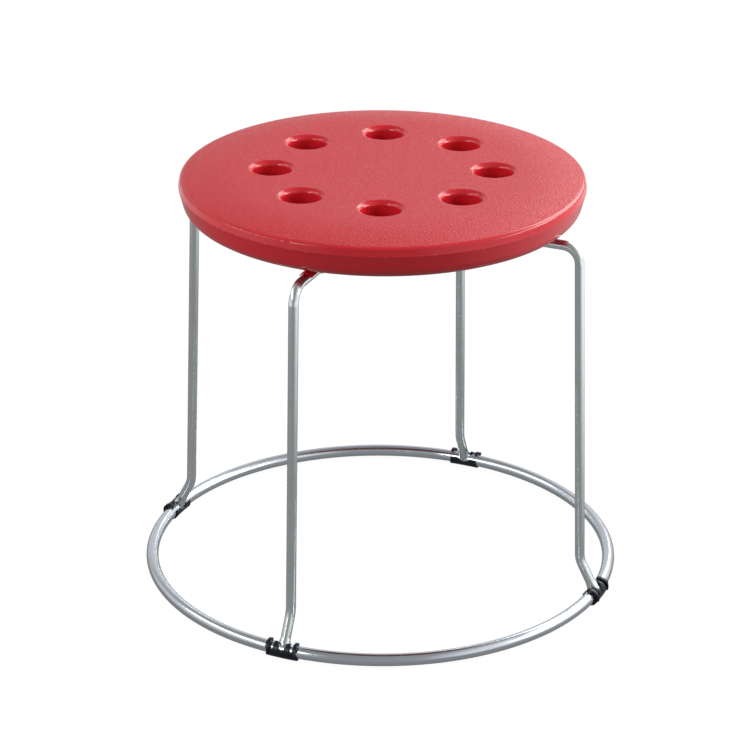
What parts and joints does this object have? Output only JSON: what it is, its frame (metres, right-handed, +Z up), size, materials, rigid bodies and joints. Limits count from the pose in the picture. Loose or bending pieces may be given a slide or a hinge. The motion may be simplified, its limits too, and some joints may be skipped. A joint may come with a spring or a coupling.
{
  "type": "low stool",
  "caption": "Low round stool: a red moulded plastic seat with a ring of finger holes, on bent chrome wire legs welded to a round wire base with black plastic foot clips.",
  "frame": {"origin": "on the floor, under the middle of the seat", "axes": "+Z up along the stool's axis; +X and +Y towards two neighbouring legs, with leg_frame_upper in the XZ plane"},
  "size_m": [0.3976, 0.3976, 0.344],
  "materials": {
    "seat_plastic": "red, pebbled on top and smooth and glossy on the skirt and in the holes",
    "rod_chrome": "chrome plated, slightly dull",
    "ring_chrome": "bright chrome plated",
    "clip_plastic": "black, satin",
    "strap_steel": "zinc plated strip",
    "screw_steel": "zinc plated"
  },
  "bodies": {
    "root": {"seat": "seat_plastic", "leg_frame_upper": "rod_chrome", "leg_frame_lower": "rod_chrome", "base_ring": "ring_chrome", "foot_clip_1": "clip_plastic", "foot_clip_2": "clip_plastic", "foot_clip_3": "clip_plastic", "foot_clip_4": "clip_plastic", "arm_saddle_1": "strap_steel", "arm_saddle_2": "strap_steel", "arm_saddle_3": "strap_steel", "arm_saddle_4": "strap_steel", "saddle_screws": "screw_steel"}
  },
  "joints": []
}
